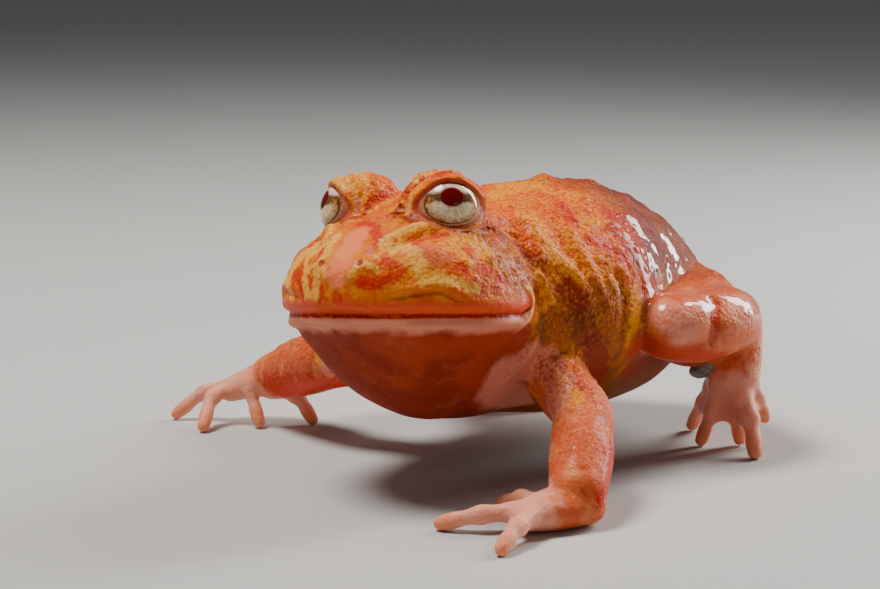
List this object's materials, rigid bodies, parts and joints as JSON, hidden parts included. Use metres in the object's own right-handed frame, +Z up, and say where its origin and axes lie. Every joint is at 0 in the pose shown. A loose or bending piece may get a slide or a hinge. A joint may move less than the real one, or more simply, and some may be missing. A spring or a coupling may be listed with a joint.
{
  "type": "frog_model",
  "caption": "Life-size still model of a young strawberry-coloured horned frog, squat and wide-mouthed, standing alert on spread forelimbs and folded hind legs",
  "frame": {"origin": "on the floor, straight below the middle of the frog's bounding box", "axes": "+Z up, the frog faces -Y, its left side is +X"},
  "size_m": [0.0788, 0.0706, 0.0384],
  "materials": {
    "skin": "moist, finely granular frog skin in orange, ochre and red, with a pinkish underside",
    "eye": "wet clear cornea over a cream and gold iris with a dark red horizontal pupil",
    "spade": "dark grey horny keratin with a worn edge"
  },
  "bodies": {
    "root": {"head": "skin", "torso": "skin", "upper_arm_left": "skin", "forearm_left": "skin", "hand_left": "skin", "upper_arm_right": "skin", "forearm_right": "skin", "hand_right": "skin", "thigh_left": "skin", "shank_left": "skin", "foot_left": "skin", "thigh_right": "skin", "shank_right": "skin", "foot_right": "skin", "eye_left": "eye", "eye_right": "eye", "spade_left": "spade", "spade_right": "spade"}
  },
  "joints": []
}
